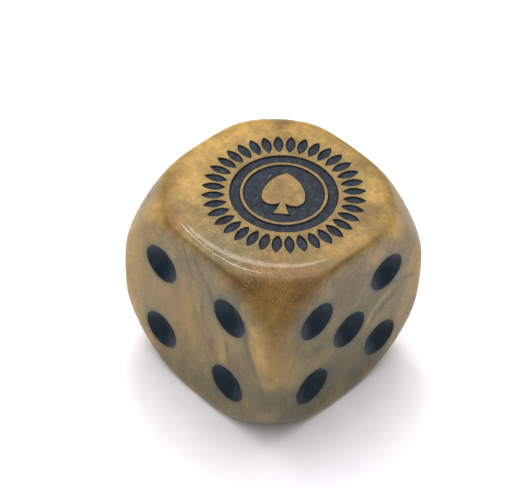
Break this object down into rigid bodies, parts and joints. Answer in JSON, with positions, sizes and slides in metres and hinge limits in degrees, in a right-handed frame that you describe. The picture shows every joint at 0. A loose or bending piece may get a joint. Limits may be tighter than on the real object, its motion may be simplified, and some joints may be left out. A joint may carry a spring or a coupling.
{
  "type": "casino die",
  "caption": "Casino die of cast, marbled resin with ball-rounded corners, drilled and painted pips on its faces, and a round engraved emblem on one of them.",
  "frame": {"origin": "centre of the die", "axes": "+Z out through the engraved emblem face, -Z one, -Y four, +Y three, +X five, -X two"},
  "size_m": [0.016, 0.016, 0.016],
  "materials": {
    "marbled_resin": "polished pearl-marbled resin, tan and gold with purplish-grey veins",
    "pip_paint": "satin blue-black paint",
    "emblem_paint": "matte blue-black paint on a rough engraved floor"
  },
  "bodies": {
    "root": {"die_body": "marbled_resin", "emblem_band": "emblem_paint", "emblem_field": "emblem_paint", "emblem_marks": "emblem_paint", "pip_one": "pip_paint", "pip_two_low": "pip_paint", "pip_two_high": "pip_paint", "pip_three_low": "pip_paint", "pip_three_middle": "pip_paint", "pip_three_high": "pip_paint", "pip_four_low_left": "pip_paint", "pip_four_low_right": "pip_paint", "pip_four_high_left": "pip_paint", "pip_four_high_right": "pip_paint", "pip_five_low_left": "pip_paint", "pip_five_low_right": "pip_paint", "pip_five_middle": "pip_paint", "pip_five_high_left": "pip_paint", "pip_five_high_right": "pip_paint"}
  },
  "joints": []
}
